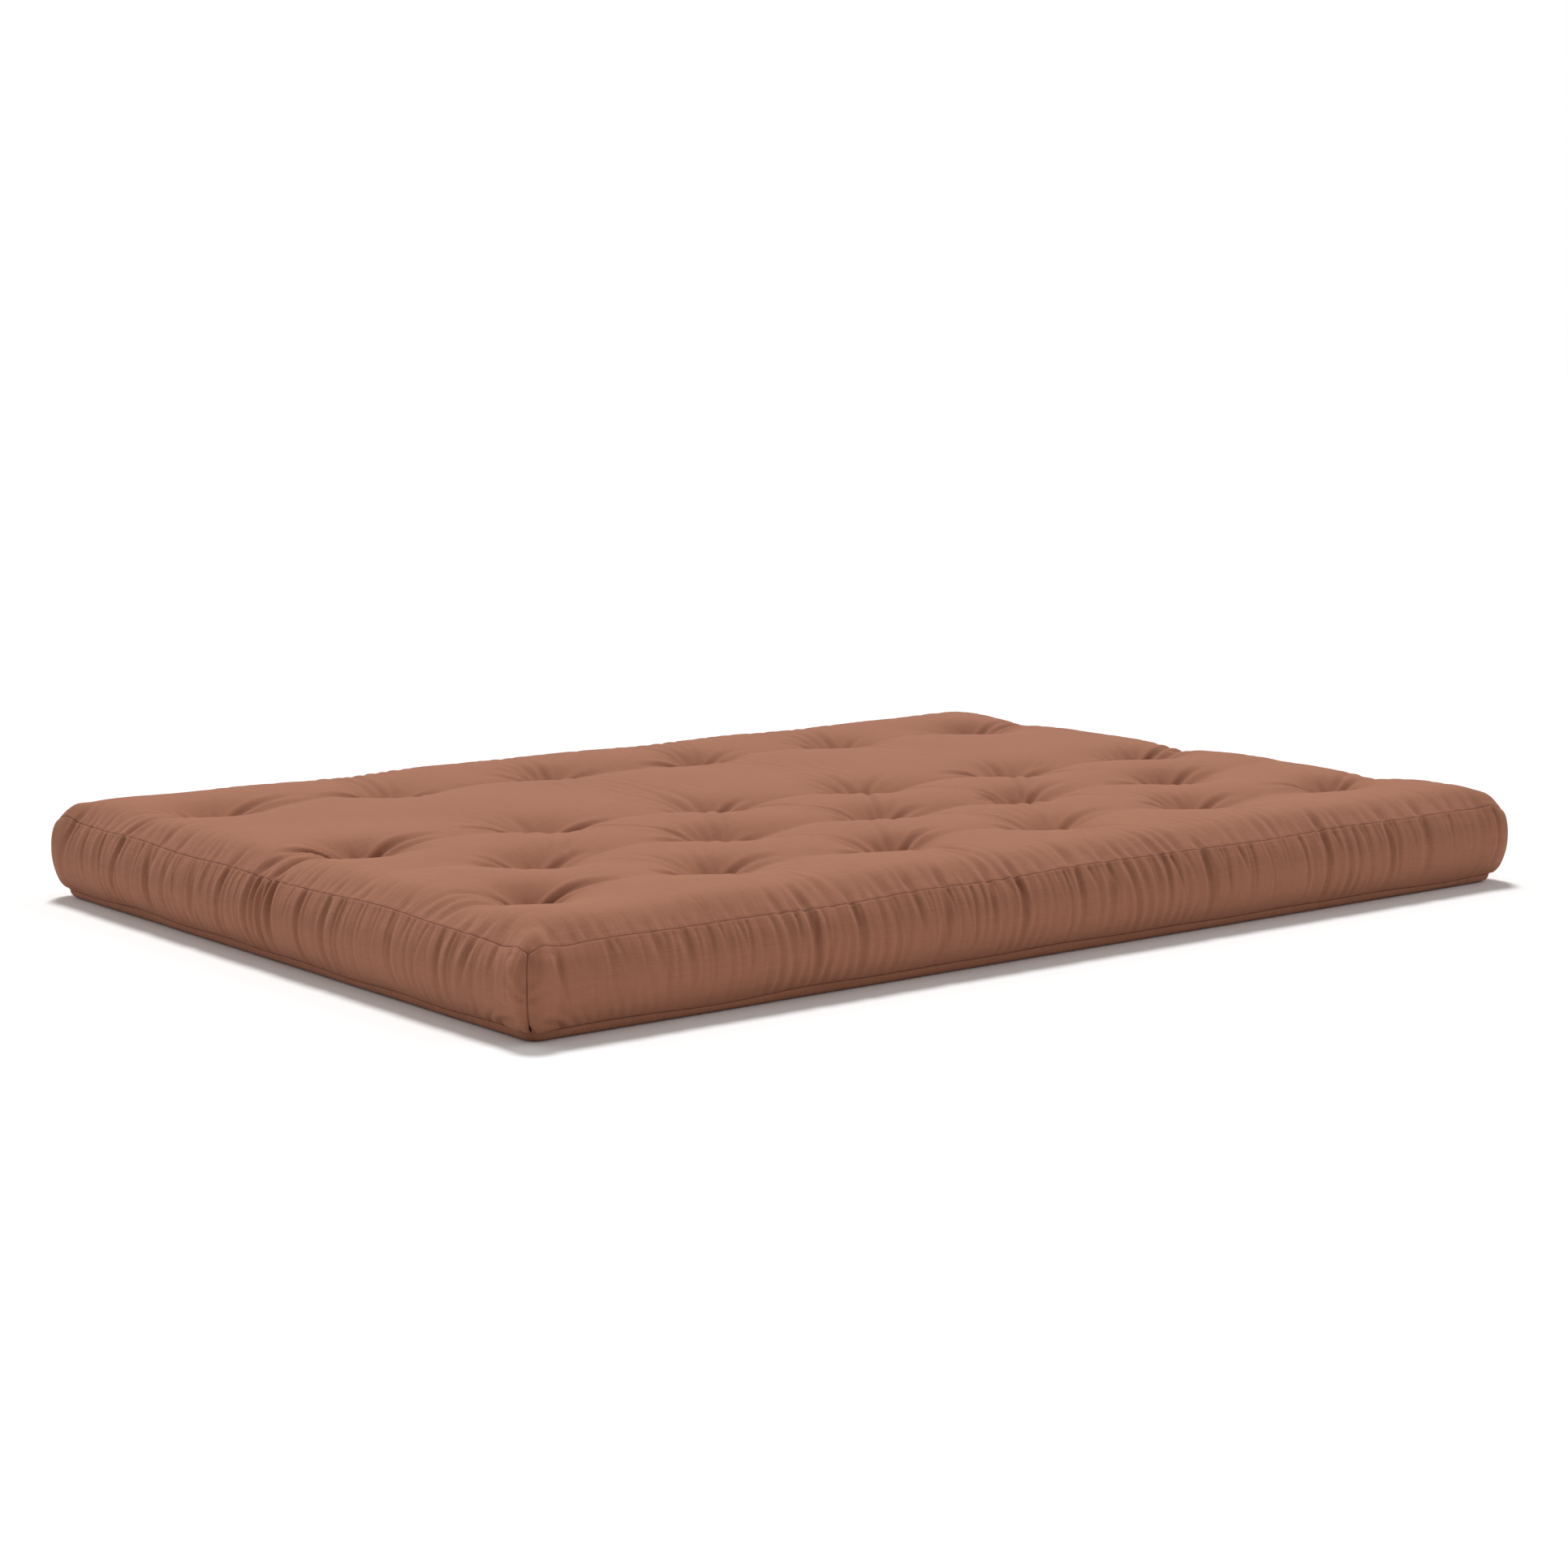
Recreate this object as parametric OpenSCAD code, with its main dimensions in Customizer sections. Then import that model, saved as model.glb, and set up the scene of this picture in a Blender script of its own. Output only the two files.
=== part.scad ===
// Tufted cotton futon mattress for a fold-out sofa bed.
// X runs along the length, Y across the width, Z up. The origin is at the middle of the underside.
// The seat half is on the -Y side and the back half on the +Y side. The mattress folds between
// them, lengthwise, along the middle row of tufts.

/* [Mattress] */
// Length between the seams of the two ends
length = 2000; // [1900:10:2100]
// Width between the seams of the two long sides
width = 1400; // [1300:10:1600]
// Height of the crown above the underside
thickness = 160; // [150:1:190]

/* [Cover] */
// Thickness of the woven cover cloth
cloth = 2; // [1:0.5:3]
// Height of the lower seam above the underside
lower_seam = 15; // [12:1:20]
// Drop from the crown to the upper seam
crown_drop = 25; // [20:1:35]
// How far the border swells out past its seams
border_swell = 20; // [10:1:30]
// Width of the rounded shoulder inside the upper seam
shoulder = 120; // [80:5:140]
// Width of the rounded foot inside the lower seam
foot = 14; // [8:1:20]
// Height of the seam allowance that the sewing thread fills
seam_gap = 2; // [1.5:0.1:3]

/* [Filling] */
// Thickness of one foam layer
foam = 24; // [20:1:30]
// Clearance around each layer of the filling
layer_gap = 0.3; // [0.2:0.1:0.5]

/* [Tufting] */
// Depth of the dimple that a tuft pulls into the top
dimple_depth = 55; // [45:1:58]
// Radius of the dimple at the top surface
dimple_radius = 70; // [50:1:75]
// Radius of the flat spot at the bottom of a dimple
dimple_tip = 9; // [9:0.5:12]
// Depth of the dimple in the underside
under_depth = 12; // [12:0.5:16]
// Radius of the dimple in the underside
under_radius = 35; // [30:1:45]
// Radius of the waxed tufting twine, doubled through the needle hole
twine = 2.2; // [1.5:0.1:2.4]
// Length of the twine's bight across the top of each tuft
bight = 14; // [10:1:15]

/* [Fold] */
// Width of the cut that separates the two halves
fold_gap = 6; // [5.5:0.1:8]

/* [Hidden] */
SEAT = -1;
BACK = 1;
SIDES = [["seat", SEAT], ["back", BACK]];
ENDS = [["left", -1], ["right", 1]];
felt_count = 6;
foam_count = 2;
felts_below = 3;
cover_nodes = [for (s = SIDES) for (n = ["top_panel", "bottom_panel"]) str(s[0], "_", n)];
long_border_nodes = ["front_border", "rear_border"];
end_border_nodes = [for (e = ENDS) for (s = SIDES) str(e[0], "_border_", s[0])];
felt_nodes = [for (s = SIDES) for (i = [1 : felt_count]) str(s[0], "_felt_", i)];
foam_nodes = [for (s = SIDES) for (i = [1 : foam_count]) str(s[0], "_foam_", i)];
seam_nodes = [for (s = SIDES) for (n = ["upper_seam", "lower_seam", "corner_seams"]) str(s[0], "_", n)];
tuft_nodes = ["tufts_front_row", "tufts_staggered_row", "tufts_fold_row", "tufts_rear_row"];

$fn = 48;
outline_steps = 6;
upper_seam = thickness - crown_drop;
felt = (thickness - 2 * cloth - foam_count * foam) / felt_count;
needle_radius = twine + 0.6;
thread = seam_gap - 0.6;
knot_radius = under_depth / 2 - 1;
margin = 60;
overshoot = 1;

// Six-tuft rows stand on even columns, and the staggered row on the columns between them.
column = length / 6;
even_columns = [for (i = [0 : 5]) (i - 2.5) * column];
odd_columns = [for (i = [0 : 4]) (i - 2) * column];
front_row = [for (x = even_columns) [x, -width / 3]];
staggered_row = [for (x = odd_columns) [x, -width / 6]];
fold_row = [for (x = even_columns) [x, 0]];
rear_row = [for (x = even_columns) [x, width / 3]];
all_tufts = concat(front_row, staggered_row, fold_row, rear_row);

cover_colour = [0.64, 0.43, 0.34];
border_colour = [0.55, 0.36, 0.28];
felt_colour = [0.90, 0.87, 0.78];
foam_colour = [0.93, 0.85, 0.60];
thread_colour = [0.36, 0.22, 0.17];
twine_colour = [0.60, 0.40, 0.31];

// Right side of the section through the mattress, from the foot up to the edge of the flat crown.
// half is the distance from the middle to the seams.
function right_side(half) = concat(
    [for (i = [0 : outline_steps / 2]) let (a = 180 * i / outline_steps)
        [half - foot * (1 - sin(a)), lower_seam * (1 - cos(a))]],
    [for (i = [1 : outline_steps]) let (t = i / outline_steps)
        [half + border_swell * sin(180 * t), lower_seam + t * (upper_seam - lower_seam)]],
    [for (i = [1 : outline_steps]) let (t = i / outline_steps)
        [half - shoulder * t, upper_seam + crown_drop * sin(90 * t)]]
);

function flip(points) = [for (i = [len(points) - 1 : -1 : 0]) [-points[i][0], points[i][1]]];

module section(half) {
    polygon(concat(right_side(half), flip(right_side(half))));
}

// The section pulled in on every side by the same amount
module inset_section(half, inset) {
    if (inset == 0) section(half);
    else intersection() {
        translate([0, inset]) section(half);
        translate([0, -inset]) section(half);
        translate([inset, 0]) section(half);
        translate([-inset, 0]) section(half);
    }
}

// The whole mattress as one solid, pulled in by inset
module loaf(inset) {
    intersection() {
        rotate([90, 0, 90]) linear_extrude(length + 2 * margin, center = true)
            inset_section(width / 2, inset);
        rotate([90, 0, 0]) linear_extrude(width + 2 * margin, center = true)
            inset_section(length / 2, inset);
    }
}

// The dimples that the tufts pull into the top and the underside. drop moves them into the filling.
module dimples(drop) {
    for (p = all_tufts) translate([p[0], p[1], 0]) {
        translate([0, 0, thickness - dimple_depth - drop])
            cylinder(h = dimple_depth + overshoot, r1 = dimple_tip,
                     r2 = dimple_radius + (dimple_radius - dimple_tip) * overshoot / dimple_depth);
        translate([0, 0, drop - overshoot])
            cylinder(h = under_depth + overshoot,
                     r1 = under_radius + (under_radius - dimple_tip) * overshoot / under_depth,
                     r2 = dimple_tip);
    }
}

module needle_holes() {
    for (p = all_tufts) translate([p[0], p[1], -overshoot])
        cylinder(h = thickness + 2 * overshoot, r = needle_radius);
}

// The space that belongs to one half of the mattress between two heights
module half_space(side, low, high, inside = 0) {
    y_low = side == SEAT ? -width / 2 - margin + inside : fold_gap / 2;
    y_high = side == SEAT ? -fold_gap / 2 : width / 2 + margin - inside;
    translate([-length / 2 - margin + inside, y_low, low])
        cube([length + 2 * margin - 2 * inside, y_high - y_low, high - low]);
}

// The cloth of the whole cover, without its needle holes
module cover_shell() {
    difference() {
        loaf(0);
        dimples(0);
        difference() {
            loaf(cloth);
            dimples(cloth);
        }
    }
}

// Top or bottom panel of one half: everything beyond its seam, and the dimples that reach further in
module top_panel(side) {
    color(cover_colour) difference() {
        intersection() {
            cover_shell();
            union() {
                half_space(side, upper_seam + seam_gap / 2, thickness + overshoot);
                half_space(side, thickness / 2, thickness, 2 * margin);
            }
        }
        needle_holes();
    }
}

module bottom_panel(side) {
    color(cover_colour) difference() {
        intersection() {
            cover_shell();
            union() {
                half_space(side, -overshoot, lower_seam - seam_gap / 2);
                half_space(side, 0, thickness / 2, 2 * margin);
            }
        }
        needle_holes();
    }
}

// The cloth between the two seams, as a plain ring
module border_ring(low, high) {
    intersection() {
        difference() {
            loaf(0);
            loaf(cloth);
        }
        translate([-length / 2 - margin, -width / 2 - margin, low])
            cube([length + 2 * margin, width + 2 * margin, high - low]);
    }
}

// Plan of one border, mitred at its corners. along and across are half the lengths between the
// seams along the border and from the middle of the mattress out to it.
module mitre_plan(along, across) {
    reach = margin / 2;
    linear_extrude(thickness)
        polygon([
            [-along - reach + seam_gap, -across - reach],
            [along + reach - seam_gap, -across - reach],
            [along - reach - seam_gap, -across + reach],
            [-along + reach + seam_gap, -across + reach]
        ]);
}

module border() {
    border_ring(lower_seam + seam_gap / 2, upper_seam - seam_gap / 2);
}

module long_border(side) {
    color(border_colour) intersection() {
        border();
        rotate([0, 0, side == SEAT ? 0 : 180]) mitre_plan(length / 2, width / 2);
    }
}

module end_border(end, side) {
    color(border_colour) intersection() {
        border();
        rotate([0, 0, end == -1 ? -90 : 90]) mitre_plan(width / 2, length / 2);
        half_space(side, 0, thickness);
    }
}

// Sewing thread in a seam at one height, round the three outer edges of one half
module seam_run(side, height) {
    color(thread_colour) intersection() {
        border_ring(height - thread / 2, height + thread / 2);
        half_space(side, 0, thickness);
    }
}

// Sewing thread up the two outer corners of one half
module corner_seams(side) {
    color(thread_colour) intersection() {
        border();
        for (end = [-1, 1])
            translate([end * length / 2, side * width / 2, 0])
                rotate([0, 0, 45 * end * side])
                    translate([-margin / 2, -thread / 2, 0]) cube([margin, thread, thickness]);
    }
}

// One layer of the filling, between two heights of the uncompressed stack
module layer(side, low, high) {
    difference() {
        intersection() {
            loaf(cloth + layer_gap);
            half_space(side, low + layer_gap / 2, high - layer_gap / 2);
        }
        dimples(cloth + layer_gap);
        needle_holes();
    }
}

module felt_layer(side, index) {
    low = cloth + (index - 1) * felt + (index > felts_below ? foam_count * foam : 0);
    color(felt_colour) layer(side, low, low + felt);
}

module foam_layer(side, index) {
    low = cloth + felts_below * felt + (index - 1) * foam;
    color(foam_colour) layer(side, low, low + foam);
}

// One tuft: twine down through the filling, its bight over the top cloth and its knot underneath
module tuft() {
    bight_height = thickness - dimple_depth + twine + layer_gap;
    knot_height = under_depth - knot_radius - layer_gap;
    translate([0, 0, knot_height]) cylinder(h = bight_height - knot_height, r = twine);
    translate([-bight / 2, 0, bight_height]) rotate([0, 90, 0]) cylinder(h = bight, r = twine);
    translate([0, 0, knot_height]) sphere(knot_radius);
}

module tuft_row(places) {
    color(twine_colour) for (p = places) translate([p[0], p[1], 0]) tuft();
}

for (s = SIDES) {
    top_panel(s[1]);
    bottom_panel(s[1]);
    seam_run(s[1], upper_seam);
    seam_run(s[1], lower_seam);
    corner_seams(s[1]);
    for (i = [1 : felt_count])
        felt_layer(s[1], i);
    for (i = [1 : foam_count])
        foam_layer(s[1], i);
    for (e = ENDS)
        end_border(e[1], s[1]);
}
long_border(SEAT);  // front_border
long_border(BACK);  // rear_border
tuft_row(front_row);  // tufts_front_row
tuft_row(staggered_row);  // tufts_staggered_row
tuft_row(fold_row);  // tufts_fold_row
tuft_row(rear_row);  // tufts_rear_row
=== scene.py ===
"""Looks of the tufted futon mattress: a sewn cotton cover over felt and foam, with 23 tufts.

The cover is a cloth relaxation run in this script: springs between the points of the cut cloth,
a filling that pushes it up and out, and tufts that hold it down. The relaxed cloth is then cut
along its seams into a top panel and four borders, and every other piece is fitted to it.
"""
import math

import bpy
import numpy as np
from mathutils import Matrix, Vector


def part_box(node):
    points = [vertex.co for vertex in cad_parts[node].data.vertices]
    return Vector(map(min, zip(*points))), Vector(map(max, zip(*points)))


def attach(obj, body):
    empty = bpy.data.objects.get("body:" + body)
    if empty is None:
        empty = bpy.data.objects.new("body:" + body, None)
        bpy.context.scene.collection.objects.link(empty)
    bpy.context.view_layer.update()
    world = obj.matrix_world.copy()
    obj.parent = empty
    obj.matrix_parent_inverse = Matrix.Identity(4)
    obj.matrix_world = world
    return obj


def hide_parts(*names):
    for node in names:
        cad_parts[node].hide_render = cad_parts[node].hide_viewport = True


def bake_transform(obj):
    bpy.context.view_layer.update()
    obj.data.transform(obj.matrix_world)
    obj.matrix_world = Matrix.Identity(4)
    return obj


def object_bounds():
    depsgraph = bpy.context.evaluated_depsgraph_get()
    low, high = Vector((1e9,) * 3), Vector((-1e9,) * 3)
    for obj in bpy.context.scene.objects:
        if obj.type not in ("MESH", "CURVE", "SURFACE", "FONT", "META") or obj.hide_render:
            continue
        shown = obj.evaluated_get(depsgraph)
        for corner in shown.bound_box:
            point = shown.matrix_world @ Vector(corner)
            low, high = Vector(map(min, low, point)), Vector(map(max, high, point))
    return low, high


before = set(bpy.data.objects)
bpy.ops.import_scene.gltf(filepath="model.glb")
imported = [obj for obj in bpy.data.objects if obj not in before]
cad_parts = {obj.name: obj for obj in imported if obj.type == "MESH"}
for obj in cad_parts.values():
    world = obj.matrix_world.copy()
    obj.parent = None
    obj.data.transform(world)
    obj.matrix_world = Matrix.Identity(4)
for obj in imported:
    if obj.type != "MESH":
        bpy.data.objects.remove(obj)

cad_low, cad_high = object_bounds()

# ---------- sizes, in metres
SWELL = 0.020  # how far the CAD borders swell past the seams
LENGTH = cad_high.x - cad_low.x - 2 * SWELL
WIDTH = cad_high.y - cad_low.y - 2 * SWELL
UPPER_SEAM = 0.133  # height of the seam round the top
LOWER_SEAM = 0.015  # and of the seam round the bottom
BORDER = UPPER_SEAM - LOWER_SEAM
BORDER_CUT = 0.12  # height of the borders' cloth, which sets its rows of cells
SEAM_WAVE = 0.0035  # how far the upper seam wanders up and down
FOOT_WAVE = 0.0015  # and the lower seam
FOOT = 0.014  # radius of the rounded foot under the lower seam
PLAN_CORNER = 0.030  # radius of the corners seen from above
CLOTH = 0.0012  # thickness of the cover cloth
BIGHT = 0.014  # length of the twine across the top of a tuft
TUFT_SINK = 0.006  # how far the pinched cloth lies under the top of the twine
TUFT_WANDER = 0.005  # how far a tuft stands from its straight row, at random
TUFT_ROWS = [  # CAD node, number of tufts, and body, which is None for the row on the fold
    ("tufts_front_row", 6, "seat_half"), ("tufts_staggered_row", 5, "seat_half"),
    ("tufts_fold_row", 6, None), ("tufts_rear_row", 6, "back_half")]


def tuft_points(node, count):
    """Middles of the tufts in one row, and the height of their twine."""
    low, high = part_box(node)
    first, last = low[0] + BIGHT / 2, high[0] - BIGHT / 2
    y = (low[1] + high[1]) / 2
    return [(first + (last - first) * i / (count - 1), y, high[2]) for i in range(count)]


TUFTS = np.concatenate([tuft_points(node, count) for node, count, _ in TUFT_ROWS])
ROW_PLACES = sorted({round(float(y), 4) for y in TUFTS[:, 1]})
TUFTS[:, :2] += np.random.default_rng(21).normal(0, TUFT_WANDER, (len(TUFTS), 2))

# ---------- cloth relaxation
CELLS = [0.02, 0.01, 0.005]  # spacing of the cloth's points, level by level
STEPS = [260, 160, 90]  # steps of the relaxation at each level
BENDING = [0.3, 0.3, 0.25]  # stiffness of the bending springs at each level
PASSES = 2  # passes over the springs in each step
KEPT_SPEED = 0.96  # share of the speed that is kept from step to step
SPEED_LIMIT = 0.2  # of a cell, per step
START_NOISE = 0.0015  # random unevenness that the wrinkles start from
SLACK_TOP = 0.020  # how much larger than the surface the top is cut, in its middle
SLACK_SIDE = 0.038  # and along the seams
SLACK_UP = 0.04  # and up the borders
SLACK_BAND = 0.15  # width of the band along the seams
SLACK_UNEVEN = 0.4  # how much the slack varies from place to place
SOFT_FILL = 0.004  # how strongly the filling pushes the top up, per step
SIDE_FILL = 0.03  # and the borders out
SEAM_HOLD = 0.1  # how strongly the upper seam is held at its height
SIDE_SWELL = 1.3  # how far the filling reaches out at the borders, in SWELL
SIDE_REACH = (-0.01, 0.05)  # least and most distance over which it pushes them
CROWN = 0.176  # height of the filling before the tufts press it down
SHOULDER = 0.072  # width of the round edge of the filling
CROWN_WAVE = 0.004  # how uneven the filling is
CORNER_FILL = (0.006, 0.019)  # how much higher it is at the front and at the rear corners
TUFT_PULL = 0.022  # how far a tuft presses the filling round it down
TUFT_REACH = 0.09  # and within what distance
ROW_PULL = 0.024  # how far the filling along a row of tufts is pressed down
ROW_FADE = 0.17  # that fades within this distance of the ends
PINCH = 0.0065  # radius of the cloth that a tuft holds
TOP_LIMIT = 0.169  # the crown is eased in under this height
EASE_FROM = 0.150  # and starts to be eased here


def unit(vectors):
    """The vectors at unit length; a zero vector stays zero."""
    return vectors / np.maximum(np.linalg.norm(vectors, axis=-1), 1e-12)[..., None]


def field(u, v, size, seed, waves=24):
    """Smooth seeded noise over the cloth, with features of about the given size."""
    rng = np.random.default_rng(seed)
    total = np.zeros(np.shape(u))
    for _ in range(waves):
        turn = rng.uniform(0, 2 * math.pi)
        k = 2 * math.pi / (size * rng.uniform(0.7, 1.6))
        phase = rng.uniform(0, 2 * math.pi)
        total += np.cos(k * (u * math.cos(turn) + v * math.sin(turn)) + phase)
    return total / math.sqrt(waves / 2)


def from_edges(u, v):
    """Distances in from the ends, and from the long sides."""
    return LENGTH / 2 - np.abs(u), WIDTH / 2 - np.abs(v)


def seam_height(u, v):
    """Height of the upper seam: it sinks at the front corners and rises at the rear ones."""
    near_corner = np.exp(-(np.hypot(*from_edges(u, v)) / 0.09) ** 2)
    drop = np.where(v < 0, 0.006, -0.005) * near_corner
    return UPPER_SEAM + SEAM_WAVE * field(u, v, 0.32, 13) - drop


def foot_height(u, v):
    """Height of the lower seam."""
    return LOWER_SEAM + FOOT_WAVE * field(u, v, 0.30, 14)


def rounded(x, y):
    """Rounds the corners of the plan."""
    dx = np.maximum(np.abs(x) - (LENGTH / 2 - PLAN_CORNER), 0)
    dy = np.maximum(np.abs(y) - (WIDTH / 2 - PLAN_CORNER), 0)
    far = np.hypot(dx, dy)
    keep = np.where(far > 0, np.maximum(dx, dy) / np.maximum(far, 1e-9), 1)
    return x - np.sign(x) * dx * (1 - keep), y - np.sign(y) * dy * (1 - keep)


def round_edge(ids):
    """The numbers round the edge of a grid, each once."""
    return np.concatenate([ids[:-1, 0], ids[-1, :-1], ids[:0:-1, -1], ids[0, :0:-1]])


class Cloth:
    """Point numbers of the top panel and of the ring of borders, which share the upper seam."""

    def __init__(self, cell):
        nx, ny, rows = round(LENGTH / cell), round(WIDTH / cell), round(BORDER_CUT / cell)
        x = np.linspace(-LENGTH / 2, LENGTH / 2, nx + 1)
        y = np.linspace(-WIDTH / 2, WIDTH / 2, ny + 1)
        u, v = np.meshgrid(x, y, indexing="ij")
        self.nx, self.ny = nx, ny
        self.top = np.arange(u.size).reshape(u.shape)
        ring = round_edge(self.top)
        below = u.size + np.arange(rows * len(ring)).reshape(rows, len(ring))
        self.side = np.concatenate([ring[None], below])
        self.u = np.concatenate([u.ravel(), np.tile(u.ravel()[ring], rows)])
        self.v = np.concatenate([v.ravel(), np.tile(v.ravel()[ring], rows)])
        down = np.repeat(np.arange(1, rows + 1) / rows, len(ring))
        self.down = np.concatenate([np.zeros(u.size), down])
        ends = np.isclose(self.u, LENGTH / 2) * 1.0 - np.isclose(self.u, -LENGTH / 2)
        longs = np.isclose(self.v, WIDTH / 2) * 1.0 - np.isclose(self.v, -WIDTH / 2)
        self.out = np.stack([ends, longs], -1)
        self.corner = np.abs(self.out).sum(1) > 1

    def faces(self):
        """Faces of the top and the borders."""
        return np.concatenate([quads(self.top), quads(self.side, wrap=True)])


def pairs(ids, di, dj, wrap=False):
    """Neighbours (di, dj) apart, in two batches that share no point."""
    rows, columns = ids.shape
    if wrap:
        ids = np.concatenate([ids, ids[:, :dj]], 1)
    else:
        columns -= dj
    first, last = max(0, -di), rows - max(0, di)
    near, far = ids[first:last, :columns], ids[first + di:last + di, dj:dj + columns]
    step, axis = max(abs(di), abs(dj)), 1 if dj else 0
    index = np.arange(near.shape[axis])
    batches = []
    for parity in (0, 1):
        chosen = np.nonzero((index // step) % 2 == parity)[0]
        a = np.take(near, chosen, axis=axis).ravel()
        b = np.take(far, chosen, axis=axis).ravel()
        batches.append((a, b))
    return batches


def rest_length(cloth, a, b):
    """Length of the cut cloth between points a and b."""
    u, v = cloth.u, cloth.v
    near_end, near_long = (np.clip(1 - inward / SLACK_BAND, 0, 1) for inward in from_edges(u, v))
    uneven = 1 + SLACK_UNEVEN * field(u, v, 0.12, 11)
    slack_u = (SLACK_TOP + (SLACK_SIDE - SLACK_TOP) * near_long) * uneven
    slack_v = (SLACK_TOP + (SLACK_SIDE - SLACK_TOP) * near_end) * uneven
    du = (u[b] - u[a]) * (1 + (slack_u[a] + slack_u[b]) / 2)
    dv = (v[b] - v[a]) * (1 + (slack_v[a] + slack_v[b]) / 2)
    dw = (cloth.down[b] - cloth.down[a]) * BORDER * (1 + SLACK_UP)
    return np.sqrt(du * du + dv * dv + dw * dw)


def springs(cloth, level, free):
    """(a, b, length, pull, push, share of a, share of b) for every batch of springs."""
    kinds = [(1, 0, 1.0, 0.6), (0, 1, 1.0, 0.6),  # threads: steps, pull, push
             (1, 1, 0.5, 0.3), (-1, 1, 0.5, 0.3),  # shear
             (2, 0, 0.0, BENDING[level]), (0, 2, 0.0, BENDING[level])]  # bending
    made = []
    for ids, wrap in ((cloth.top, False), (cloth.side, True)):
        for di, dj, pull, push in kinds:
            for a, b in pairs(ids, di, dj, wrap):
                both = np.maximum(free[a] + free[b], 1e-9)
                shares = (free[a] / both, free[b] / both)
                made.append((a, b, rest_length(cloth, a, b), pull, push) + shares)
    return made


CREASE_SIDES = [  # axis along the side, its place, least and most spacing, seed
    (0, -WIDTH / 2, 0.018, 0.060, 31),
    (0, WIDTH / 2, 0.018, 0.060, 32),
    (1, -LENGTH / 2, 0.014, 0.042, 33),
    (1, LENGTH / 2, 0.014, 0.042, 34),
]
CREASE_DEPTH = 0.006  # of the deepest crease
CREASE_BAND = 0.12  # width of the band of the top that creases run onto
PLAIN_CORNER = 0.05  # length of a side next to its corner without creases
FOLD_CREASES = (-0.030, -0.013, 0.004, 0.020, 0.034)  # places of the creases at the fold


def side_creases(half, least, most, at_fold, rng):
    """(place, depth, width, slant, reach onto the top, reach down) of the creases of one side."""
    made = []
    place = -half + PLAIN_CORNER
    while place < half - PLAIN_CORNER:
        depth = CREASE_DEPTH * rng.uniform(0.2, 1.0) ** 2
        made.append((place, depth, rng.uniform(0.0045, 0.009), rng.normal(0, 0.12),
                     rng.uniform(0.02, 0.10), rng.uniform(0.05, 0.14)))
        place += rng.uniform(least, most)
    if at_fold:
        for place in FOLD_CREASES:
            made.append((place, 0.005 * rng.uniform(0.6, 1.0), 0.005, rng.normal(0, 0.08),
                         rng.uniform(0.06, 0.11), rng.uniform(0.07, 0.13)))
    return made


# Small gathers: greatest depth, then least and most width, reach and spacing.
BORDER_GATHERS = (0.0033, (0.0022, 0.0040), (0.03, 0.13), (0.007, 0.024))
TOP_GATHERS = (0.0028, (0.0050, 0.0075), (0.03, 0.09), (0.014, 0.040))


def small_gathers(along, away, half, seed, kind):
    """Depth of the small gathers that run away from a seam of length 2 * half."""
    deepest, widths, reaches, gaps = kind
    rng = np.random.default_rng(seed)
    total = np.zeros(along.shape)
    place = -half + 0.02
    while place < half - 0.02:
        deep, wide = deepest * rng.uniform(0.2, 1.0) ** 1.5, rng.uniform(*widths)
        reach, slant = rng.uniform(*reaches), rng.normal(0, 0.10)
        near = (np.abs(along - place) < 0.04) & (away < reach)
        lateral = (along[near] - place - slant * away[near]) / wide
        fade = (1 - away[near] / reach) ** 0.6
        total[near] += deep * np.exp(-lateral ** 2) * fade
        place += rng.uniform(*gaps)
    return total * np.clip(away / 0.005, 0, 1)


def top_gathers(u, v):
    """Depth of the small gathers along the four edges of the top."""
    edges = [(u, WIDTH / 2 + v, LENGTH / 2), (u, WIDTH / 2 - v, LENGTH / 2),
             (v, LENGTH / 2 + u, WIDTH / 2), (v, LENGTH / 2 - u, WIDTH / 2)]
    return np.max([small_gathers(*edge, 51 + i, TOP_GATHERS) for i, edge in enumerate(edges)], 0)


def crease_depth(u, v, down, out):
    """How deep the creases across the seams lie at each point of the cover."""
    total = np.zeros(len(u))
    top = down == 0
    for axis, place, least, most, seed in CREASE_SIDES:
        rng = np.random.default_rng(seed)
        along, across = (u, v) if axis == 0 else (v, u)
        half = LENGTH / 2 if axis == 0 else WIDTH / 2
        inward = np.abs(across - place)
        on_top = top & (inward < CREASE_BAND)
        on_side = ~top & (out[:, 1 - axis] == np.sign(place))
        near = np.nonzero(on_top | on_side)[0]
        height = np.where(top[near], inward[near], -down[near] * BORDER)
        s = along[near]
        depth = np.zeros(len(near))
        for centre, deep, width, slant, up, low in side_creases(half, least, most, axis == 1, rng):
            window = np.where(height > 0, np.clip(1 - height / up, 0, 1),
                              np.clip(1 + height / low, 0, 1) ** 0.7)
            window = window * (1 - 0.6 * np.exp(-(height / 0.010) ** 2))
            depth += deep * np.exp(-((s - centre - slant * height) / width) ** 2) * window
        depth *= np.clip((half - np.abs(s)) / 0.06, 0, 1)
        total[near] = np.maximum(total[near], depth)
    return total


def from_tufts(u, v):
    """Distance to the nearest tuft."""
    return np.min(np.hypot(u[..., None] - TUFTS[:, 0], v[..., None] - TUFTS[:, 1]), -1)


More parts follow.
